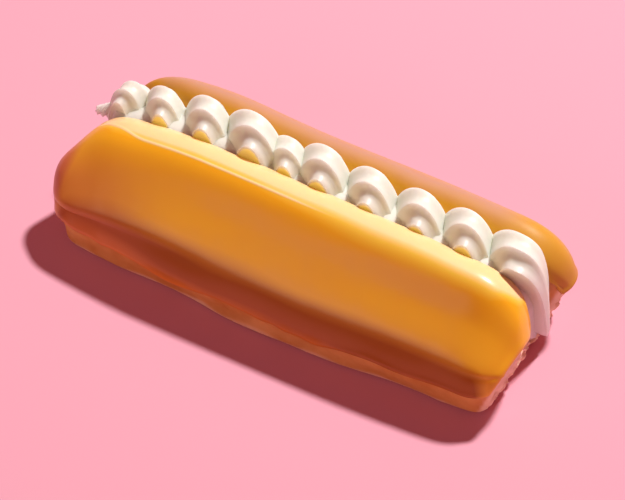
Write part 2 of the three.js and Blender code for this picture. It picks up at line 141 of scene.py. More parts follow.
# The last hump falls down the open end of the split.
FALL_X, FALL_LEAN, FALL_FOOT, FALL_TILT, FALL_ROUND = 69.0, 0.3, 8.5, 0.45, 3.0
FALL_NARROW, FALL_BACK, FALL_MOST = 0.35, 4.1, 1.0
FALL_CORE = (-4.5, -5.5)
TIP = {"x": -78.2, "y": 9.4, "z": 23.6, "radius": 1.5, "from": (-70.5, 9.6, 26.4), "base": 4.0}


def ease(x, start, end):
    t = np.clip((x - start) / (end - start), 0.0, 1.0)
    return t * t * (3 - 2 * t)


def mix(a, b, t):
    return a + (b - a) * t


def to_frame(points):
    """Millimetre points in the sizes' own frame, as metres in the part's frame."""
    return (np.asarray(points, float) + ORIGIN) * MM


# How many waves a ripple adds up, how far their lengths spread, and the height that they are scaled by.
RIPPLE_WAVES, RIPPLE_SPREAD, RIPPLE_PEAK = 24, (0.7, 1.4), 1.4


def ripple(points, length, seed):
    """Smooth unevenness between about -1 and 1, of the given length in millimetres."""
    draw = np.random.default_rng(seed)
    ways = draw.normal(size=(RIPPLE_WAVES, 3))
    ways /= np.linalg.norm(ways, axis=1, keepdims=True)
    ways *= draw.uniform(*RIPPLE_SPREAD, size=(RIPPLE_WAVES, 1)) * 2 * math.pi / length
    phases = draw.uniform(0, 2 * math.pi, RIPPLE_WAVES)
    return np.cos(np.asarray(points) @ ways.T + phases).sum(1) * math.sqrt(2 / RIPPLE_WAVES) / RIPPLE_PEAK


def new_piece(name, points, faces):
    """A mesh object from millimetre points."""
    mesh = bpy.data.meshes.new(name)
    mesh.from_pydata(to_frame(points).tolist(), [], faces)
    mesh.validate()
    mesh.update()
    piece = bpy.data.objects.new(name, mesh)
    bpy.context.scene.collection.objects.link(piece)
    mesh.shade_smooth()
    return piece


def points_of(piece):
    """The points of a mesh in millimetres, as rows of x, y and z."""
    points = np.zeros(len(piece.data.vertices) * 3)
    piece.data.vertices.foreach_get("co", points)
    return (points.reshape(-1, 3) / MM - ORIGIN).T


# The form of the bun.
def closed_curve(outline, t):
    """A closed curve through control points, each a pair of (y, z) arrays."""
    count, size = len(outline), len(t)
    points = np.array([[np.broadcast_to(c, size) for c in point] for point in outline])
    place = t * count
    i = np.floor(place).astype(int)
    f = place - i
    every = np.arange(size)
    a, b, d, e = (points[(i + k) % count, :, every] for k in (-1, 0, 1, 2))
    f = f[:, None]
    cubic = 3 * b - a - 3 * d + e
    square = 2 * a - 5 * b + 4 * d - e
    return 0.5 * (2 * b + (d - a) * f + square * f**2 + cubic * f**3)


def rounding(distance, length):
    t = np.clip(1 - np.maximum(distance, 0) / length, 0, 1)
    return (1 - t**ROUND_POWER) ** (1 / ROUND_POWER)


def slot_floor(x):
    return SLOT_FLOOR + SLOT_FLOOR_RISE * ease(x, WIDE_LEFT + SLOT_FLOOR_RISE_LENGTH, WIDE_LEFT)


def lump(x, side):
    return sum(height * np.sin(x / length + phase * side) for length, height, phase in LUMPS)


def bowed(bow, x):
    return bow["depth"] * ((x - bow["middle"]) / bow["reach"]) ** 2


def droop(x):
    left = np.maximum(0, WIDE_LEFT + DROOP_LENGTH - x) / DROOP_LENGTH
    right = np.maximum(0, x - WIDE_RIGHT + DROOP_LENGTH) / DROOP_LENGTH
    return LEFT_DROOP * left**DROOP_POWER + RIGHT_DROOP * right**DROOP_POWER


def wide_outline(x):
    size = WIDE_SECTION
    skew = SLOT_SKEW * x
    top = WIDE_CROWN - droop(x)
    floor = slot_floor(x)
    outer = WIDE_SIDE + bowed(SIDE_BOW, x)
    base = WIDE_BASE + bowed(BASE_BOW, x) + lump(x, size["base_lump"])
    return [
        (SLOT_WIDE_WALL + FLOOR_REACH + skew, floor),
        (SLOT_WIDE_WALL + WALL_LEAN + skew, mix(floor, top, WALL_LOW)),
        (SLOT_WIDE_WALL + skew, mix(floor, top, WALL_HIGH)),
        (WIDE_LIP + skew, top - size["lip_drop"]),
        (WIDE_LIP - size["crown_in"] + skew, top),
        (size["shoulder"][0] + skew / 2, top - size["shoulder"][1]),
        (size["face_top"][0], top - size["face_top"][1]),
        (size["face_foot"][0], top - size["face_foot"][1]),
        (outer + size["side"][0], size["side"][1] - droop(x) / 2),
        (outer + lump(x, size["side_lump"]) / 2, size["bulge_height"]),
        (outer + size["foot"][0], size["foot"][1]),
        (base, 0),
        (size["under"], 0),
        (SLOT_WIDE_WALL + size["joint"], 0),
    ]


def narrow_outline(x):
    size = NARROW_SECTION
    skew = SLOT_SKEW * x
    swell = np.exp(-(((x - SWELL["x"]) / SWELL["length"]) ** 2))
    top = NARROW_CROWN + SWELL["crown"] * swell - size["droop_share"] * droop(x)
    floor = slot_floor(x)
    bow = bowed(BASE_BOW, x)
    outer = NARROW_SIDE + SWELL["side"] * swell - size["bow_share"] * bow
    return [
        (outer - size["foot"][0], size["foot"][1]),
        (outer, BULGE_HEIGHT - size["bulge_drop"]),
        (outer - size["side"][0], size["side"][1]),
        (outer - size["shoulder"][0], top - size["shoulder"][1]),
        (mix(NARROW_LIP, outer, size["crown_share"]) + skew / 2, top),
        (NARROW_LIP + skew, top - size["lip_drop"]),
        (SLOT_NARROW_WALL + WALL_LEAN + skew, mix(floor, top, WALL_HIGH)),
        (SLOT_NARROW_WALL - WALL_LEAN + skew, mix(floor, top, WALL_LOW)),
        (SLOT_NARROW_WALL - FLOOR_REACH + skew, floor),
        (SLOT_WIDE_WALL + skew, 0),
        (size["under"], 0),
        (NARROW_BASE - bow, 0),
    ]


WIDE = {
    "left": WIDE_LEFT,
    "right": WIDE_RIGHT,
    "axis": WIDE_AXIS,
    "outline": wide_outline,
    "lobe": LOBE["depth"],
}
NARROW = {
    "left": NARROW_LEFT,
    "right": NARROW_RIGHT,
    "axis": NARROW_AXIS,
    "outline": narrow_outline,
    "lobe": 0.0,
}

# How the fine meshes are laid out: s runs along a half from end to end, slowly near its ends.
END_SHARE, END_LENGTH = 0.13, 16.0


def along(half, s):
    quarter = math.pi / 2
    left = half["left"] + END_LENGTH * (1 - np.cos(quarter * np.clip(s / END_SHARE, 0, 1)))
    right = half["right"] - END_LENGTH * (1 - np.cos(quarter * np.clip((1 - s) / END_SHARE, 0, 1)))
    span = half["right"] - half["left"] - 2 * END_LENGTH
    middle = half["left"] + END_LENGTH + span * (s - END_SHARE) / (1 - 2 * END_SHARE)
    return np.where(s < END_SHARE, left, np.where(s > 1 - END_SHARE, right, middle))


def lobe_at(half, x, y, z):
    """How far the lobe moves a point of the left end outwards."""
    near = ease(x, half["left"] + LOBE["from"], half["left"] + LOBE["to"])
    spread = ((y - LOBE["y"]) / LOBE["across"]) ** 2 + ((z - LOBE["z"]) / LOBE["up"]) ** 2
    return half["lobe"] * near * np.exp(-spread)


def surface(half, s, t):
    """Points on the bare surface of a half."""
    x = along(half, s)
    near_left = x - half["left"] < half["right"] - x
    reach = np.minimum(x - half["left"], half["right"] - x)
    section = closed_curve(half["outline"](x), t % 1)
    y, z = section[:, 0], np.maximum(section[:, 1], 0)
    lengths = {k: np.where(near_left, LEFT_ROUND[k], RIGHT_ROUND[k]) for k in LEFT_ROUND}
    tall = rounding(reach, np.where(z > BULGE_HEIGHT, lengths["top"], lengths["base"]))
    wide = rounding(reach, lengths["plan"])
    y = half["axis"] + (y - half["axis"]) * wide
    z = BULGE_HEIGHT + (z - BULGE_HEIGHT) * tall
    return np.stack([x - lobe_at(half, x, y, z), y, z], 1)


def normals(half, s, t):
    """Outward normals of the bare surface."""
    step_s, step_t, pole = 2e-4, 1e-3, 1e-3
    inner = np.clip(s, pole, 1 - pole)
    lengthwise = surface(half, inner + step_s, t) - surface(half, inner - step_s, t)
    round_ = surface(half, inner, t + step_t) - surface(half, inner, t - step_t)
    normal = np.cross(round_, lengthwise)
    normal /= np.linalg.norm(normal, axis=1, keepdims=True)
    normal[s <= 0] = (-1, 0, 0)
    normal[s >= 1] = (1, 0, 0)
    return normal


def face_outwards(piece):
    fix = bmesh.new()
    fix.from_mesh(piece.data)
    bmesh.ops.recalc_face_normals(fix, faces=fix.faces)
    fix.to_mesh(piece.data)
    fix.free()


def grid_faces(rows, columns, closed):
    """The faces between rows of points, each row a closed loop or open."""
    faces = []
    for i in range(rows - 1):
        here, there = i * columns, (i + 1) * columns
        for j in range(columns if closed else columns - 1):
            k = (j + 1) % columns
            faces.append((here + j, here + k, there + k, there + j))
    return faces


# The dough: both halves joined into one body, with a torn right end.
DOUGH_STATIONS, DOUGH_AROUND = 170, 128
# Each ripple is its length, its depth and its seed.
CRUST_RIPPLES = [(14.0, 0.22, 3), (5.0, 0.1, 5), (1.9, 0.05, 9)]
CRUST_STRETCH, CRUST_FROM = (0.45, 1, 1), (0.3, 2.5)
# A slight ledge along the outer foot of the wide half.
LEDGE = {"height": (6, 2), "y": (-14, -20), "out": 0.9, "wave": 0.8, "length": 11, "phase": 1}
# What counts as torn crumb, and as pale rim, for the dough's colour.
CRUMB_DEPTH, CRUMB_BACK = (2.2, 1.2), 4
RIM = {"height": (3.2, 1.2), "wave": 0.5, "length": 3.1}


def closed_half(name, half, points):
    """A half as one closed mesh, from its rows of points and a pole at each end."""
    count = len(points)
    left = half["left"] - lobe_at(half, half["left"], half["axis"], BULGE_HEIGHT)
    poles = [[left, half["axis"], BULGE_HEIGHT], [half["right"], half["axis"], BULGE_HEIGHT]]
    faces = grid_faces(DOUGH_STATIONS - 2, DOUGH_AROUND, True)
    last_row = count - DOUGH_AROUND
    for j in range(DOUGH_AROUND):
        k = (j + 1) % DOUGH_AROUND
        faces.append((count, k, j))
        faces.append((count + 1, last_row + j, last_row + k))
    return new_piece(name, np.vstack([points, poles]), faces)


def half_places():
    """Where the points of a closed half lie along and round it, without its poles."""
    s = np.repeat(np.linspace(0, 1, DOUGH_STATIONS)[1:-1], DOUGH_AROUND)
    t = np.tile(np.arange(DOUGH_AROUND) / DOUGH_AROUND, DOUGH_STATIONS - 2)
    return s, t


def half_of_dough(name, half):
    s, t = half_places()
    points = surface(half, s, t)
    off_base = ease(points[:, 2], *CRUST_FROM)
    crust = sum(depth * ripple(points * CRUST_STRETCH, length, seed) for length, depth, seed in CRUST_RIPPLES)
    if half is WIDE:
        ledge = ease(points[:, 2], *LEDGE["height"]) * ease(points[:, 1], *LEDGE["y"])
        out = LEDGE["out"] + LEDGE["wave"] * np.sin(points[:, 0] / LEDGE["length"] + LEDGE["phase"])
        points = points + np.outer(ledge * out, (0, -1, 0))
    points = points + normals(half, s, t) * (crust * off_base)[:, None]
    return closed_half(name, half, points)


TEAR_SIDES, TEAR_STEP, TEAR_BLOCK = (-34.0, 36.0, -4.0, 44.0), 0.45, 60
TEAR_RIPPLES = [(6.0, 0.5, 21), (2.6, 0.35, 22), (1.3, 0.22, 23)]
TEAR_PITS = {"length": 2.0, "seed": 24, "from": 0.35, "depth": 0.9}


def torn_block():
    """What lies beyond the torn right end, with a rough face towards the bun."""
    low_y, high_y, low_z, high_z = TEAR_SIDES
    ys = np.arange(low_y, high_y, TEAR_STEP)
    zs = np.arange(low_z, high_z, TEAR_STEP)
    y, z = (a.ravel() for a in np.meshgrid(ys, zs, indexing="ij"))
    flat = np.stack([np.zeros_like(y), y, z], 1)
    rough = sum(depth * ripple(flat, length, seed) for length, depth, seed in TEAR_RIPPLES)
    holes = ripple(flat, TEAR_PITS["length"], TEAR_PITS["seed"]) - TEAR_PITS["from"]
    pits = np.clip(holes, 0, 1) * TEAR_PITS["depth"]
    near = np.stack([TEAR_AT_BASE + TEAR_LEAN * z + rough - pits, y, z], 1)
    far = near.copy()
    far[:, 0] = TEAR_AT_BASE + TEAR_BLOCK
    rows, columns = len(ys), len(zs)
    count = rows * columns
    front = [tuple(reversed(face)) for face in grid_faces(rows, columns, False)]
    back = [tuple(i + count for i in reversed(face)) for face in front]
    rim = [i * columns for i in range(rows)] + [(rows - 1) * columns + j for j in range(1, columns)]
    rim += [i * columns + columns - 1 for i in range(rows - 2, -1, -1)] + list(range(columns - 2, 0, -1))
    sides = [(a, b, b + count, a + count) for a, b in zip(rim, rim[1:] + rim[:1])]
    block = new_piece("torn_block", np.vstack([near, far]), front + back + sides)
    face_outwards(block)
    return block


def combine(piece, other, operation):
    """Joins or cuts piece by other, and removes other."""
    change = piece.modifiers.new(operation, "BOOLEAN")
    change.operation = operation
    change.solver = "MANIFOLD"
    change.object = other
    graph = bpy.context.evaluated_depsgraph_get()
    made = bpy.data.meshes.new_from_object(piece.evaluated_get(graph))
    piece.modifiers.remove(change)
    old = piece.data
    piece.data = made
    bpy.data.meshes.remove(old)
    bpy.data.objects.remove(other)


def make_dough():
    dough = half_of_dough("dough", WIDE)
    combine(dough, half_of_dough("other_half", NARROW), "UNION")
    combine(dough, torn_block(), "DIFFERENCE")
    dough.data.name = "dough"
    dough.data.shade_smooth()
    x, _, z = points_of(dough)
    torn = ease(np.abs(x - TEAR_AT_BASE - TEAR_LEAN * z), *CRUMB_DEPTH) * (x > TEAR_AT_BASE - CRUMB_BACK)
    set_mark(dough, "torn", torn)
    set_mark(dough, "rim", ease(z + RIM["wave"] * np.sin(x / RIM["length"]), *RIM["height"]))
    return dough


# The icing: a skin on each half whose rim thickens into a soft bead.
ICING_STATIONS, ICING_AROUND = 230, 150
RIM_LEVELS = (0.06, 0.2, 0.42, 0.75, 1.2, 1.8)
RIM_ROUND = 0.8
ICING_SEAT = -0.08
WIDE_SPLIT_FROM, NARROW_SPLIT_TO, SPLIT_BLEND = -2.0, 18.5, 1.0
DRIPS = {
    "height": 0.35,
    "length": 1.7,
    "sway": 2,
    "sway_length": 8.5,
    "patch": (-0.3, 0.9),
    "patch_length": 13.0,
    "patch_phase": 0.6,
}
LIP_WAVE = {"height": 0.3, "length": 4.1}
BEAD = {"height": 0.22, "middle": 1.1, "width": 0.9}
EDGE_THIN_BELOW = 2
# Unevenness of the icing: how high, how long, how it is stretched, and the number added to its seed.
WOBBLES = [(0.09, 20.0, (0.4, 1, 1), 0), (0.015, 7.0, (1, 1, 1), 1)]
WOBBLE_FROM_RIM = 4.0
# The thin ridge along the left part of the crest, where the icing set in a fold, carries a painted highlight
# along its line. Places round the section are shares of it, from the slot's floor over the crown and
# outwards.
RIDGE = {"height": 0.14, "width": 0.004, "middle": 0.332, "drop": 0.04, "drop_along": (-52, -70)}
RIDGE_ENDS = {"left": (-72, -66), "right": (14, -16)}
# How far the ridge's colour moves towards the pale crest stop, a painted highlight along it, and how wide the
# darker strip just under it is.
RIDGE_PAINTED_HIGHLIGHT, RIDGE_UNDER = 0.06, 0.006
RIDGE_FINE = np.linspace(0.28, 0.35, 36)
# How the colours of the icing shift round the section. A pair says where a change starts and is complete:
# along X, in height, in distance from an end, or round the section.
COLOR_WAVE = {"shift": 0.007, "length": 12.0, "stretch": (0.4, 1, 1), "more": 2}
# PALE_ENDS fades the painted highlight along the crest towards the ends.
PALE_ENDS = {"shift": 0.07, "left": (3, 13), "right": (3, 11), "round": (0.45, 0.36)}
POLES = (1, 8)
# CREST_UNDER and CREST_STRIPE move the colour off the pale stops below the ridge, so the painted highlight
# ends sharply there.
CREST_UNDER = {"along": (14, -20), "shift": 0.02, "round": (0.385, 0.365)}
CREST_STRIPE = {"shift": 0.018, "round": (0.305, 0.322)}
# The next line moves the painted shade band on the wide half's front higher towards the left end.
LEFT_SHADE_BAND = {"shift": 0.035, "along": (-30, -62), "round": (0.42, 0.5)}
# IN_SPLIT keeps the pale painted-highlight colours off the icing low inside the split.
IN_SPLIT = {"place": 0.4, "height": (28.5, 24), "round": (0.4, 0.34)}
WIDE_POLE = {"place": 0.45, "height": (32, 24)}
NARROW_POLE = {"place": 0.14, "height": (30, 22)}
# Where the icing takes its end colour: painted shade on the wide half's left end and the left of its front,
# and plain orange in place of the painted reflection towards the narrow half's right end.
LEFT_END_SHADE = {"reach": (6.5, 1), "height": (31, 21)}
LEFT_FRONT_SHADE = {"share": 0.6, "reach": (42, 8), "round": (0.345, 0.45)}
NARROW_TINT = {"along": (44, 60), "round": (0.22, 0.3)}


def icing_edge(x, y):
    rises = sum(height * ease(x, start, end) for start, end, height in EDGE_RISES)
    waves = sum(h * np.sin(x / length + y / across + phase) for length, across, h, phase in EDGE_WAVES)
    end = NARROW_END_RISE
    narrow = end["height"] * ease(x, end["from"], end["to"]) * ease(y, end["near"], end["far"])
    sway = DRIPS["sway"] * np.sin(x / DRIPS["sway_length"])
    patches = ease(np.sin(x / DRIPS["patch_length"] + DRIPS["patch_phase"]), *DRIPS["patch"])
    drips = DRIPS["height"] * np.sin(x / DRIPS["length"] + sway) * patches
    return ICING_EDGE + rises + narrow + waves + drips


def above_rim(half, points):
    """How far above its rim a point of the icing is."""
    x, y, z = points.T
    wide = half is WIDE
    crown = WIDE_CROWN if wide else NARROW_CROWN
    reach = np.minimum(x - WIDE_LEFT, WIDE_RIGHT - x)
    lip = crown - droop(x) - ICING_OVER_LIP - BULGE_HEIGHT
    wave = LIP_WAVE["height"] * np.sin(x / LIP_WAVE["length"])
    inner = BULGE_HEIGHT + lip * rounding(reach, LEFT_ROUND["top"]) + wave
    side = WIDE_SPLIT_FROM + SLOT_SKEW * x - y if wide else y - NARROW_SPLIT_TO - SLOT_SKEW * x
    outer = icing_edge(x, y)
    above = z - mix(np.maximum(inner, outer), outer, ease(side, -SPLIT_BLEND, SPLIT_BLEND))
    before_tear = TEAR_AT_BASE - ICING_BEFORE_TEAR + TEAR_LEAN * z - x
    return np.minimum(above, before_tear) if wide else above


def icing_thickness(height, above):
    full = GAP + ICING * mix(ICING_THIN, 1.0, ease(height, ICING_EDGE - EDGE_THIN_BELOW, ICING_FULL_HEIGHT))
    t = np.clip(above / RIM_ROUND, 0, 1)
    bead = 1 + BEAD["height"] * np.exp(-(((above - BEAD["middle"]) / BEAD["width"]) ** 2))
    return (full - ICING_SEAT) * np.sqrt(1 - (1 - t) ** 2) * bead


def set_mark(piece, name, values):
    """Keeps a number at each point of a mesh, for its material to read."""
    mark = piece.data.attributes.new(name, "FLOAT", "POINT")
    mark.data.foreach_set("value", np.asarray(values, np.float32))


def ridge_middle(x):
    return RIDGE["middle"] - RIDGE["drop"] * ease(x, *RIDGE["drop_along"])


def fine_ridge(x, t):
    """How much of the thin ridge's height is at each point, from 0 to 1."""
    fade = ease(x, *RIDGE_ENDS["left"]) * ease(x, *RIDGE_ENDS["right"])
    return fade * np.exp(-(((t - ridge_middle(x)) / RIDGE["width"]) ** 2))


def near_ends(half, x, left, right):
    """0 along the middle of a half, rising to 1 at its ends over these distances from them."""
    from_left = ease(x, half["left"] + left[0], half["left"] + left[1])
    return 1 - from_left * ease(x, half["right"] - right[0], half["right"] - right[1])


def place_round(half, x, t, points, seed):
    """Where round the section a point is, for the colour of the icing. On the wide half it is shifted so that
    the painted highlight along the crest fades at the ends and stops sharply under the ridge, and so that the
    painted shade band on the front starts higher at the left.
    """
    z = points[:, 2]
    ends = near_ends(half, x, PALE_ENDS["left"], PALE_ENDS["right"])
    poles = near_ends(half, x, POLES, POLES)
    wave = COLOR_WAVE
    waves = wave["shift"] * ripple(points * wave["stretch"], wave["length"], seed + wave["more"])
    place = t + waves + PALE_ENDS["shift"] * ends * ease(t, *PALE_ENDS["round"])
    if half is NARROW:
        return mix(place, NARROW_POLE["place"], poles * ease(z, *NARROW_POLE["height"]))
    ridge = ridge_middle(x)
    under = CREST_UNDER["shift"] * ease(t, ridge, ridge + RIDGE_UNDER) * ease(t, *CREST_UNDER["round"])
    stripe = CREST_STRIPE["shift"] * ease(t, *CREST_STRIPE["round"])
    place = place + ease(x, *CREST_UNDER["along"]) * (under + stripe) - RIDGE_PAINTED_HIGHLIGHT * fine_ridge(x, t)
    place = place + LEFT_SHADE_BAND["shift"] * ease(x, *LEFT_SHADE_BAND["along"]) * ease(t, *LEFT_SHADE_BAND["round"])
    place = mix(place, IN_SPLIT["place"], ease(z, *IN_SPLIT["height"]) * ease(t, *IN_SPLIT["round"]))
    return mix(place, WIDE_POLE["place"], poles * ease(z, *WIDE_POLE["height"]))


def end_tint(half, x, t, z):
    """How far the icing takes its end colour, from 0 to 1: painted shade on the wide half, plain orange in
    place of the painted reflection on the narrow half.
    """
    if half is NARROW:
        return ease(x, *NARROW_TINT["along"]) * ease(t, *NARROW_TINT["round"])
    reach = x - half["left"]
    end = ease(reach, *LEFT_END_SHADE["reach"]) * ease(z, *LEFT_END_SHADE["height"])
    tint = ease(reach, *LEFT_FRONT_SHADE["reach"]) * ease(t, *LEFT_FRONT_SHADE["round"])
    return np.maximum(end, LEFT_FRONT_SHADE["share"] * tint)


def make_icing(name, half, seed):
    """Cuts the grid of the half along the icing's rim, then gives it an outer and an inner side."""
    around = np.linspace(0, 1, ICING_AROUND + 1)
    if half is WIDE:
        around = np.union1d(around, RIDGE_FINE)
    s = np.repeat(np.linspace(0, 1, ICING_STATIONS), len(around))
    t = np.tile(around, ICING_STATIONS)
    above = above_rim(half, surface(half, s, t))
    sheet = bmesh.new()
    verts = [sheet.verts.new(p) for p in zip(s * ICING_STATIONS, t * ICING_AROUND, above)]
    for face in grid_faces(ICING_STATIONS, len(around), False):
        sheet.faces.new([verts[i] for i in face])
    for level in (0.0,) + RIM_LEVELS:
        parts = sheet.verts[:] + sheet.edges[:] + sheet.faces[:]
        bmesh.ops.bisect_plane(
            sheet, geom=parts, dist=1e-5, plane_co=(0, 0, level), plane_no=(0, 0, 1), clear_inner=level == 0
        )
    co = np.array([v.co[:] for v in sheet.verts])
    s, t, above = co[:, 0] / ICING_STATIONS, co[:, 1] / ICING_AROUND, np.maximum(co[:, 2], 0)
    bare = surface(half, s, t)
    for vert, point in zip(sheet.verts, bare):
        vert.co = point
    mark = sheet.verts.layers.int.new("number")
    for i, vert in enumerate(sheet.verts):
        vert[mark] = i
    bmesh.ops.remove_doubles(sheet, verts=sheet.verts, dist=1e-4)
    bmesh.ops.dissolve_degenerate(sheet, dist=1e-5, edges=sheet.edges)
    sheet.verts.index_update()
    kept = np.array([v[mark] for v in sheet.verts])
    rim = np.array([v.is_boundary for v in sheet.verts])
    faces = [tuple(v.index for v in face.verts) for face in sheet.faces]
    sheet.free()
    s, t, above, bare = s[kept], t[kept], above[kept], bare[kept]
    above[rim] = 0
    out = normals(half, s, t)
    x, _, z = bare.T
    wobble = sum(
        height * ripple(bare * stretch, length, seed + more) for height, length, stretch, more in WOBBLES
    )
    thick = icing_thickness(z, above) + wobble * ease(above, 0.0, WOBBLE_FROM_RIM)
    if half is WIDE:
        thick = thick + RIDGE["height"] * fine_ridge(x, t)
    outer = bare + out * (ICING_SEAT + thick)[:, None]
    inner = bare + out * ICING_SEAT
    count = len(bare)
    inside = np.where(rim, np.arange(count), count + np.cumsum(~rim) - 1)
    faces += [tuple(int(inside[i]) for i in reversed(face)) for face in faces]
    piece = new_piece(name, np.vstack([outer, inner[~rim]]), faces)
    face_outwards(piece)
    place = place_round(half, x, t, bare, seed)
    # The end mark is painted shade on the wide half's left end and front; on the narrow half it swaps the
    # painted reflection for plain orange.
    end = end_tint(half, x, t, z)
    set_mark(piece, "place", np.concatenate([place, place[~rim]]))
    set_mark(piece, "end", np.concatenate([end, end[~rim]]))
    return piece


# The cream: a row of humps, each made of nested arched ridges, piped along the split.
HUMP_ROWS, CORE_ROWS, ARCH_POINTS = 72, 12, 96
CORE_SHARE, CORE_LEAST_SHARE, FRONT_CORE_DEPTH = 0.93, 0.01, 0.6
CREST_SHARPNESS = 1.25
FALL_EASE = 0.8


def star_reach(angle):
    """The outline across a hump: sharp crests between round grooves."""
    place = np.interp(angle, CRESTS, np.arange(len(CRESTS)))
    groove = np.abs(np.sin(place * math.pi))
    return mix(1.0, GROOVE, 1 - (1 - groove) ** CREST_SHARPNESS)


def hump_rows(radius):
    """Rows from the back of a hump to its front: y, how high and how long the arch there is."""
    angle = np.linspace(ARCH_ANGLES[0], ARCH_ANGLES[-1], HUMP_ROWS)
    reach = radius * star_reach(angle)
    y = reach * np.cos(np.radians(angle))
    rise = reach * np.sin(np.radians(angle)) + ARCH_AXIS_DROP
    length = np.interp(angle, ARCH_ANGLES, ARCH_LENGTHS) * radius / HUMP_RADIUS
    return np.stack([y, rise, length], 1)


def arch_loops(index):
    """The closed loops of a hump, each in a plane across the rope, as an array of rows of points."""
    middle, radius, height, stretch, lean = HUMPS[index]
    y, rise, length = (a[:, None] for a in hump_rows(radius).T)
    axis = height - ARCH_AXIS_DROP
    shift = np.minimum(ARCH_SHIFT + ARCH_SHEAR * y, ARCH_SHIFT_MOST) * lean
    center = middle + shift
    turn = np.linspace(-math.pi, math.pi, ARCH_POINTS, endpoint=False)
    side, up = np.sin(turn), np.cos(turn)
    px = center + length * stretch * side
    pz = axis + rise * np.where(up > 0, up, ARCH_LOW_SIDE * up)
    if index == len(HUMPS) - 1:
        right = side > 0
        top = axis + rise
        fall_right = np.minimum(FALL_X - FALL_LEAN * y, FALL_X + FALL_MOST)
        foot = FALL_FOOT + FALL_TILT * y
        fall_x = center + (fall_right - center) * np.abs(side) ** (2 / FALL_ROUND)
        fall_z = foot + (top - foot) * np.maximum(up, 0) ** (2 / FALL_ROUND)
        px = np.where(right, np.where(up > 0, fall_x, center + (fall_right - center) * side), px)
        pz = np.where(right, fall_z + np.minimum(up, 0), pz)
        fallen = np.where(right, np.clip((top - pz) / (top - foot), 0, 1) ** FALL_EASE, 0)
        y = mix(y, FALL_NARROW * y + FALL_BACK, fallen)
    else:
        fallen = np.zeros_like(px)
        y = np.broadcast_to(y, px.shape)
    return px, y, pz, fallen, center, axis


def make_hump(index):
    px, y, pz, fallen, center, axis = arch_loops(index)
    caps = []
    for row, way, last in ((0, -1, False), (-1, 1, True)):
        rows = []
        for inward in np.linspace(0, 1, CORE_ROWS + 1)[1:]:
            turn = (inward * CORE_ROWS - 1) / (CORE_ROWS - 1) * math.pi / 2
            share = max(CORE_SHARE * math.cos(turn), CORE_LEAST_SHARE)
            depth = (FRONT_CORE_DEPTH if last else CORE_DEPTH) * math.sin(turn)
            core_x = center[row] + (px[row] - center[row]) * share
            core_z = axis + (pz[row] - axis) * share
            core_y = y[row] + way * depth
            if last:
                slope = fallen[row] * inward
                core_x = core_x * (1 - slope) + (px[row] + FALL_CORE[0] * inward) * slope
                core_z = core_z * (1 - slope) + pz[row] * slope
                core_y = core_y + FALL_CORE[1] * slope
            rows.append(np.stack([core_x, core_y, core_z], 1))
        caps.append(rows)
    body = np.stack([px, y, pz], 2)
    loops = np.concatenate([np.array(caps[0][::-1]), body, np.array(caps[1])])
    loops[:, :, 1] += ROPE_Y + SLOT_SKEW * loops[:, :, 0]
    rows = len(loops)
    faces = grid_faces(rows, ARCH_POINTS, True)
    ends = [list(range(ARCH_POINTS)), [(rows - 1) * ARCH_POINTS + j for j in range(ARCH_POINTS)]]
    faces += [tuple(ends[0]), tuple(reversed(ends[1]))]
    piece = new_piece(f"hump_{index}", loops.reshape(-1, 3), faces)
    face_outwards(piece)
    return piece


# The cream pressed down into the split under the humps, as a section across the rope.
FILLING = {"left": -70.0, "right": 66.8, "sink": 3.0, "fall_from": 57.0, "fall_to": 67.5, "fall": 24.0}
# Each point is a distance from the rope's middle and a height, or None for the floor of the slot. The
# heights are for humps whose centre line is at FILLING_HUMP.
FILLING_SECTION = [
    (7.0, None),
    (6.6, 30.0),
    (4.0, 33.0),
    (-4.0, 33.6),
    (-6.6, 33.0),
    (-8.2, 31.0),
    (-7.0, None),
]
FILLING_HUMP, FILLING_STATIONS = 34.0, 90


def make_filling():
    xs = np.linspace(FILLING["left"], FILLING["right"], FILLING_STATIONS)
    y = ROPE_Y + SLOT_SKEW * xs
    floor = slot_floor(xs) - FILLING["sink"]
    heights = np.array([hump[2] for hump in HUMPS])
    gone = np.clip((xs - FILLING["fall_from"]) / (FILLING["fall_to"] - FILLING["fall_from"]), 0, 1)
    fall = FILLING["fall"] * (1 - (1 - gone**FALL_ROUND) ** (1 / FALL_ROUND))
    low = np.interp(xs, [hump[0] for hump in HUMPS], heights) - FILLING_HUMP - fall
    ring = [(y + a, floor if z is None else z + low) for a, z in FILLING_SECTION]
    points = np.stack([np.stack([xs, a, b], 1) for a, b in ring], 1).reshape(-1, 3)
    around = len(ring)
    last = around * (len(xs) - 1)
    faces = grid_faces(len(xs), around, True)
    faces += [tuple(range(around)), tuple(last + j for j in reversed(range(around)))]
    piece = new_piece("filling", points, faces)
    face_outwards(piece)
    return piece


# Where, round its section, the wall of each half is bare of icing inside the split.
WIDE_BARE, NARROW_BARE = (0.0, 0.12), (0.55, 0.8)
# How far the cream is pressed into what it touches.
PRESS = 0.1
# The front core of a hump, where the cream gets a yellow tint and glow as painted bounce light: where it
# starts and is full, as a share of the arch round it, and how far behind the arch.
CORE_EDGE, CORE_BEHIND = (0.95, 0.88), (2.5, 2)
SHARP_FROM = math.radians(50)


def make_room(name, half, bare):
    """The half of the bun with its icing, a little smaller, to press the cream against it."""
    s, t = half_places()
    out = np.where((t > bare[0]) & (t < bare[1]), -PRESS, GAP + ICING - PRESS)
    points = surface(half, s, t) + normals(half, s, t) * out[:, None]
    return closed_half(name, half, points)


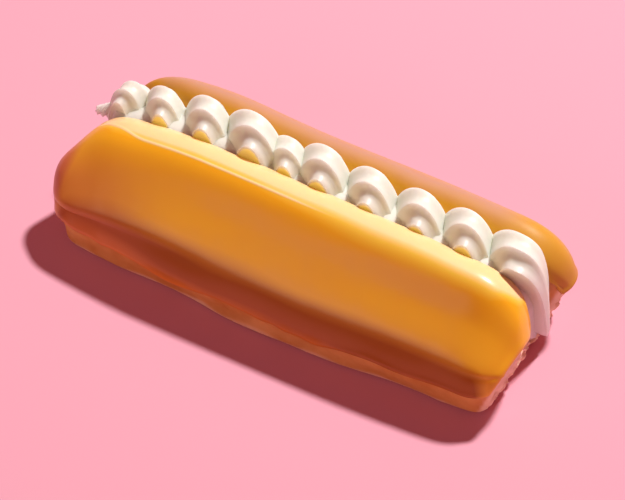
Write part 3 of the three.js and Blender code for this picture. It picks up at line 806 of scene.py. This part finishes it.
def in_cores(x, y, z):
    """How far inside the front core of a hump each point is, from 0 at the core's edge to 1: the mask of the
    painted bounce light on the cream.
    """
    inside = np.zeros(len(x))
    across = y - ROPE_Y - SLOT_SKEW * x
    for middle, radius, height, stretch, lean in HUMPS[1:-1]:
        front, rise, length = hump_rows(radius)[-1]
        center = middle + min(ARCH_SHIFT + ARCH_SHEAR * front, ARCH_SHIFT_MOST) * lean
        away = np.hypot((x - center) / (length * stretch), (z - height + ARCH_AXIS_DROP) / rise)
        behind = ease(across, front + CORE_BEHIND[0], front + CORE_BEHIND[1])
        inside = np.maximum(inside, ease(away, *CORE_EDGE) * behind)
    return inside


def make_cream():
    cream = make_filling()
    for index in range(len(HUMPS)):
        combine(cream, make_hump(index), "UNION")
    combine(cream, make_tip(), "UNION")
    combine(cream, make_room("wide_room", WIDE, WIDE_BARE), "DIFFERENCE")
    combine(cream, make_room("narrow_room", NARROW, NARROW_BARE), "DIFFERENCE")
    cream.name = cream.data.name = "whipped_cream"
    # The cores' yellow tint and glow are painted bounce light from the icing.
    set_mark(cream, "painted_bounce_light", in_cores(*points_of(cream)))
    cream.data.shade_smooth()
    cream.data.set_sharp_from_angle(angle=SHARP_FROM)
    return cream


TIP_STAR, TIP_TURNS, TIP_ROWS, TIP_AROUND, TIP_RIDGE, TIP_TAPER = 6, 0.6, 40, 48, 0.34, 0.8


def make_tip():
    """The twisted point where the nozzle first touched down."""
    start, end = np.array(TIP["from"]), np.array([TIP["x"], TIP["y"], TIP["z"]])
    way = (end - start) / np.linalg.norm(end - start)
    across = np.cross(way, (0, 0, 1))
    across /= np.linalg.norm(across)
    up = np.cross(across, way)
    turn = np.arange(TIP_AROUND) / TIP_AROUND * 2 * math.pi
    rows = []
    for share in np.linspace(0, 1, TIP_ROWS):
        radius = mix(TIP["base"], TIP["radius"], share**TIP_TAPER)
        ridge = 1 - TIP_RIDGE * np.abs(np.sin(TIP_STAR / 2 * (turn - TIP_TURNS * 2 * math.pi * share)))
        ring = radius * ridge[:, None] * (across * np.cos(turn)[:, None] + up * np.sin(turn)[:, None])
        rows.append(start + (end - start) * share + ring)
    faces = grid_faces(TIP_ROWS, TIP_AROUND, True)
    last = (TIP_ROWS - 1) * TIP_AROUND
    faces += [tuple(range(TIP_AROUND)), tuple(last + j for j in reversed(range(TIP_AROUND)))]
    piece = new_piece("tip", np.array(rows).reshape(-1, 3), faces)
    face_outwards(piece)
    return piece


# Materials: the values set on the shader of each.
ICING_FINISH = {
    "Specular IOR Level": 0.25,
    "Subsurface Weight": 0.15,
    "Subsurface Radius": (1.0, 0.5, 0.15),
    "Subsurface Scale": 0.002,
    "Coat Roughness": 0.2,
}
WIDE_FINISH = {**ICING_FINISH, "Roughness": 0.34, "Coat Weight": 0.28}
NARROW_FINISH = {**ICING_FINISH, "Roughness": 0.48, "Coat Weight": 0.0}
DOUGH_FINISH = {
    "Roughness": 0.62,
    "Subsurface Weight": 0.15,
    "Subsurface Radius": (1.0, 0.5, 0.25),
    "Subsurface Scale": 0.002,
}
CREAM_FINISH = {
    "Roughness": 0.42,
    "Subsurface Weight": 0.8,
    "Subsurface Radius": (1.0, 0.95, 0.85),
    "Subsurface Scale": 0.005,
    "Emission Strength": 1.0,
}
PAPER_FINISH = {"Base Color": (0.74, 0.365, 0.47, 1), "Roughness": 0.9, "Specular IOR Level": 0.1}


def material(name, finish):
    made = bpy.data.materials.new(name)
    made.use_nodes = True
    shader = made.node_tree.nodes["Principled BSDF"]
    set_inputs(shader, finish)
    return made, made.node_tree, shader


def set_inputs(node, values):
    for socket, value in values.items():
        node.inputs[socket].default_value = value


def ramp(tree, source, stops):
    node = tree.nodes.new("ShaderNodeValToRGB")
    elements = node.color_ramp.elements
    while len(elements) < len(stops):
        elements.new(0.5)
    for element, (place, color) in zip(elements, stops):
        element.position = place
        element.color = (*color, 1)
    tree.links.new(source, node.inputs[0])
    return node.outputs[0]


# The colours of the icing round the section of each half, from the split over the crown and outwards. On the
# wide half the pale stops by the crest are a painted highlight, the dark stops low on the front are painted
# shade, and the last stop is redder again.
WIDE_COLORS = [
    (0.312, (0.93, 0.66, 0.32)),
    (0.342, (0.88, 0.57, 0.06)),
    (0.375, (0.87, 0.42, 0.012)),
    (0.5, (0.88, 0.45, 0.03)),
    (0.585, (0.42, 0.115, 0.002)),
    (0.64, (0.42, 0.105, 0.002)),
    (0.69, (0.8, 0.26, 0.03)),
]
# On the narrow half the pinkish stops over the outer top are a painted reflection.
NARROW_COLORS = [
    (0.12, (0.6, 0.27, 0.05)),
    (0.24, (0.55, 0.27, 0.13)),
    (0.31, (0.54, 0.28, 0.19)),
    (0.385, (0.57, 0.27, 0.015)),
]
# The wide end colour is painted shade on the left end; the narrow end colour is the plain icing that replaces
# its painted reflection near the right end.
WIDE_END_SHADE, NARROW_END_COLOR = (0.62, 0.17, 0.06), (0.6, 0.3, 0.03)
CRUST_COLORS = [(0.3, (0.64, 0.26, 0.05)), (0.7, (0.8, 0.4, 0.12))]
CRUST_PATCHES = {"Scale": 120.0, "Detail": 4.0}
RIM_COLOR, CRUMB_COLOR = (1.0, 0.7, 0.42), (0.95, 0.7, 0.48)
# The cores of the humps have a yellow tint and a weak glow of their own, in place of the light that the
# sunlit icing throws on them in the photo.
CREAM_COLOR, CORE_COLOR = (0.74, 0.78, 0.71), (0.98, 0.84, 0.36)
NO_GLOW, CORE_GLOW = (0.0, 0.0, 0.0), (0.18, 0.13, 0.02)


def mixed(tree, share, first, second):
    """A colour between two others, each a socket or a colour."""
    blend = tree.nodes.new("ShaderNodeMix")
    blend.data_type = "RGBA"
    tree.links.new(share, blend.inputs[0])
    for socket, color in ((blend.inputs[6], first), (blend.inputs[7], second)):
        if isinstance(color, tuple):
            socket.default_value = (*color, 1)
        else:
            tree.links.new(color, socket)
    return blend.outputs[2]


def marked(tree, name):
    """The number that set_mark kept at each point."""
    node = tree.nodes.new("ShaderNodeAttribute")
    node.attribute_name = name
    return node.outputs["Fac"]


def icing_material(name, colors, end_color, finish):
    made, tree, shader = material(name, finish)
    round_section = ramp(tree, marked(tree, "place"), colors)
    color = mixed(tree, marked(tree, "end"), round_section, end_color)
    tree.links.new(color, shader.inputs["Base Color"])
    return made


def dough_material():
    made, tree, shader = material("baked_dough", DOUGH_FINISH)
    place = tree.nodes.new("ShaderNodeTexCoord")
    patches = tree.nodes.new("ShaderNodeTexNoise")
    set_inputs(patches, CRUST_PATCHES)
    tree.links.new(place.outputs["Object"], patches.inputs["Vector"])
    crust = ramp(tree, patches.outputs["Fac"], CRUST_COLORS)
    rimmed = mixed(tree, marked(tree, "rim"), crust, RIM_COLOR)
    color = mixed(tree, marked(tree, "torn"), rimmed, CRUMB_COLOR)
    tree.links.new(color, shader.inputs["Base Color"])
    return made


def cream_material():
    made, tree, shader = material("whipped_cream", CREAM_FINISH)
    core = marked(tree, "painted_bounce_light")
    tree.links.new(mixed(tree, core, CREAM_COLOR, CORE_COLOR), shader.inputs["Base Color"])
    tree.links.new(mixed(tree, core, NO_GLOW, CORE_GLOW), shader.inputs["Emission Color"])
    return made


# The surroundings. Distances and sizes of the lights are in metres.
KEY = {
    "way": (0.19, 0.65, 1.0),
    "distance": 1.8,
    "size": (0.17, 0.17),
    "power": 43.0,
    "color": (1.0, 0.97, 0.92),
}
PANEL = {
    "way": (-0.33, -0.82, 0.46),
    "distance": 1.0,
    "size": (0.7, 0.4),
    "power": 1.1,
    "color": (1.0, 1.0, 1.0),
}
SKY = {"Color": (1.0, 0.22, 0.2, 1), "Strength": 0.28}
FLOOR_HEIGHT, FLOOR_REACH_OUT = -0.05, 2000


def make_stage():
    corners = [(x, y, FLOOR_HEIGHT) for x, y in ((-1, -1), (1, -1), (1, 1), (-1, 1))]
    floor = new_piece("floor", np.array(corners) * (FLOOR_REACH_OUT, FLOOR_REACH_OUT, 1), [(0, 1, 2, 3)])
    made, _, _ = material("pink_paper", PAPER_FINISH)
    floor.data.materials.append(made)


def add_light(name, values):
    data = bpy.data.lights.new(name, "AREA")
    data.shape = "ELLIPSE"
    data.size, data.size_y = values["size"]
    data.energy = values["power"]
    data.color = values["color"]
    light = bpy.data.objects.new(name, data)
    way = Vector(values["way"]).normalized()
    light.location = way * values["distance"]
    light.rotation_euler = way.to_track_quat("Z", "Y").to_euler()
    bpy.context.scene.collection.objects.link(light)


def make_lights():
    add_light("key", KEY)
    add_light("panel", PANEL)
    world = bpy.data.worlds.new("studio")
    bpy.context.scene.world = world
    world.use_nodes = True
    set_inputs(world.node_tree.nodes["Background"], SKY)


def make_camera():
    data = bpy.data.cameras.new("camera")
    data.lens = LENS
    data.sensor_width = SENSOR
    toward = Vector((
        math.sin(VIEW_AZIMUTH) * math.cos(VIEW_ELEVATION),
        -math.cos(VIEW_AZIMUTH) * math.cos(VIEW_ELEVATION),
        math.sin(VIEW_ELEVATION),
    ))
    camera = bpy.data.objects.new("camera", data)
    camera.location = Vector(to_frame(VIEW_TARGET)) + toward * VIEW_DISTANCE
    camera.rotation_euler = toward.to_track_quat("Z", "Y").to_euler()
    bpy.context.scene.collection.objects.link(camera)
    bpy.context.scene.camera = camera


make_camera()
wide_icing = icing_material("custard_icing", WIDE_COLORS, WIDE_END_SHADE, WIDE_FINISH)
narrow_icing = icing_material("caramel_icing", NARROW_COLORS, NARROW_END_COLOR, NARROW_FINISH)
pieces = [
    (make_dough(), "bun", "dough", dough_material()),
    (make_icing("icing_on_wide_half", WIDE, WIDE_SEED), "icing_wide", "icing", wide_icing),
    (make_icing("icing_on_narrow_half", NARROW, NARROW_SEED), "icing_narrow", "icing", narrow_icing),
    (make_cream(), "cream", "cream", cream_material()),
]
for piece, node, slot, finish in pieces:
    piece.data.materials.clear()
    piece.data.materials.append(finish)
    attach(piece, "root")
    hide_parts(node)
make_stage()
make_lights()
bpy.context.scene.view_settings.view_transform = "Standard"
